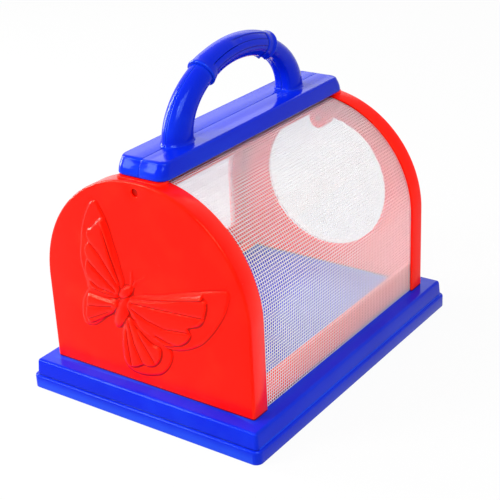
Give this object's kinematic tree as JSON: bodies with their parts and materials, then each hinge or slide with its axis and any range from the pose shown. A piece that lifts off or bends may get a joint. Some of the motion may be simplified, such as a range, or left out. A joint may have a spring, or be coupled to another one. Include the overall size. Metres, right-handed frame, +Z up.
{
  "type": "insect breeding box",
  "caption": "Insect breeding box: arched cage with a net cover on a tiered base tray, carrying handle on top, and a round swing door at the back.",
  "frame": {"origin": "middle of the base's underside, on the surface that it stands on", "axes": "+Z up, +Y along the length towards the rear plate with the door, -Y towards the front plate with the relief, +X to the right seen from the front"},
  "size_m": [0.17, 0.2256, 0.2062],
  "materials": {
    "blue_plastic": "glossy moulded blue",
    "red_plastic": "satin gloss moulded red",
    "white_net": "white woven plastic net",
    "clear_plastic": "clear moulded plastic",
    "screw_steel": "plain steel"
  },
  "bodies": {
    "base": {"base_tray": "blue_plastic"},
    "cage": {"front_plate": "red_plastic", "rear_plate": "red_plastic", "front_net_hoop": "red_plastic", "rear_net_hoop": "red_plastic", "left_side_rail": "red_plastic", "right_side_rail": "red_plastic", "top_rail": "red_plastic", "net_cover": "white_net", "handle_half_left": "blue_plastic", "handle_half_right": "blue_plastic", "grip_sleeve": "blue_plastic", "seat_screw_1": "screw_steel", "seat_screw_2": "screw_steel", "seat_screw_3": "screw_steel", "seat_screw_4": "screw_steel", "handle_screw_1": "screw_steel", "handle_screw_2": "screw_steel", "door_pivot_screw": "screw_steel", "door_washer": "clear_plastic"},
    "door": {"door": "clear_plastic"}
  },
  "joints": [
    {"name": "cage_lift", "type": "slide", "parent": "base", "child": "cage", "axis": [0, 0, 1], "range_m": [0, 0.04]},
    {"name": "door_swing", "type": "hinge", "parent": "cage", "child": "door", "pos_m": [0, 0.10175, 0.1268], "axis": [0, 1, 0], "range_deg": [-170, 170]}
  ]
}
